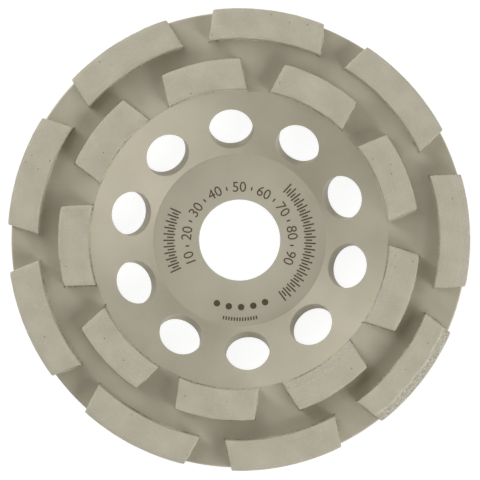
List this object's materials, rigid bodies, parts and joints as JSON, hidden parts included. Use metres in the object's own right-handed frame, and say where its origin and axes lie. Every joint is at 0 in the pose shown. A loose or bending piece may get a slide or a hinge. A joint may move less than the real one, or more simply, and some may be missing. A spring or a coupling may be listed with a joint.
{
  "type": "diamond cup wheel",
  "caption": "Dished steel grinding cup for an angle grinder, with a central bore, vents in its cone and a double ring of raised, staggered diamond segments.",
  "frame": {"origin": "centre of the bore, on the back face of the hub, where the wheel rests", "axes": "+Z along the bore towards the grinding face; +X through the middle of the first outer segment"},
  "size_m": [0.1246, 0.125, 0.0184],
  "materials": {
    "body_steel": "matte, finely turned",
    "segment_bond": "matte, fine-grained sintered metal"
  },
  "bodies": {
    "root": {"cup_body": "body_steel", "outer_segment_1": "segment_bond", "outer_segment_2": "segment_bond", "outer_segment_3": "segment_bond", "outer_segment_4": "segment_bond", "outer_segment_5": "segment_bond", "outer_segment_6": "segment_bond", "outer_segment_7": "segment_bond", "outer_segment_8": "segment_bond", "outer_segment_9": "segment_bond", "inner_segment_1": "segment_bond", "inner_segment_2": "segment_bond", "inner_segment_3": "segment_bond", "inner_segment_4": "segment_bond", "inner_segment_5": "segment_bond", "inner_segment_6": "segment_bond", "inner_segment_7": "segment_bond", "inner_segment_8": "segment_bond", "inner_segment_9": "segment_bond"}
  },
  "joints": []
}
